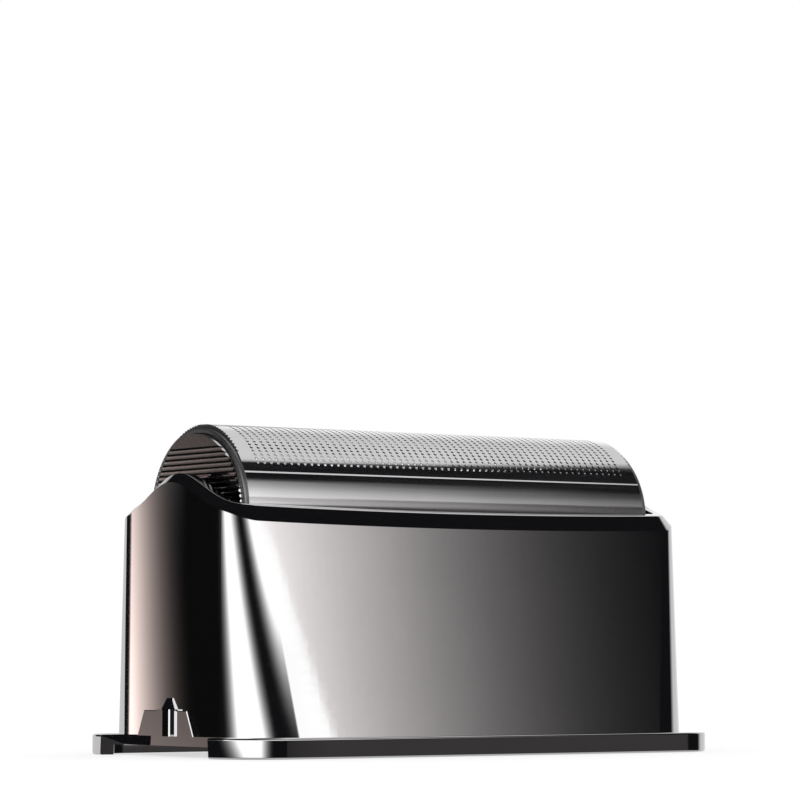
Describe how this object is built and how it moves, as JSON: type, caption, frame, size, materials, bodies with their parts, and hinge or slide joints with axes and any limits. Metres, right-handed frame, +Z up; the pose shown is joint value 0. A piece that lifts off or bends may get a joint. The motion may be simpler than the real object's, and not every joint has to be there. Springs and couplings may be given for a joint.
{
  "type": "shaver foil head",
  "caption": "Plated shaver foil head: a tapered housing with a base flange and wavy rim holds an arched, perforated foil on a carrier between ribbed end caps.",
  "frame": {"origin": "middle of the plane that the base lip stands on", "axes": "+X along the foil, +Y across it, +Z up from the base lip to the foil's apex"},
  "size_m": [0.0514, 0.0274, 0.0282],
  "materials": {
    "housing_plating": "dark mirror plating",
    "foil_steel": "thin bright foil",
    "carrier_plastic": "fine moulded texture",
    "cap_plating": "dark mirror plating",
    "clamp_plastic": "fine moulded texture"
  },
  "bodies": {
    "root": {"housing": "housing_plating", "foil": "foil_steel", "foil_carrier": "carrier_plastic", "end_cap_left": "cap_plating", "end_cap_right": "cap_plating", "clamp_bar_front": "clamp_plastic", "clamp_bar_rear": "clamp_plastic"}
  },
  "joints": []
}
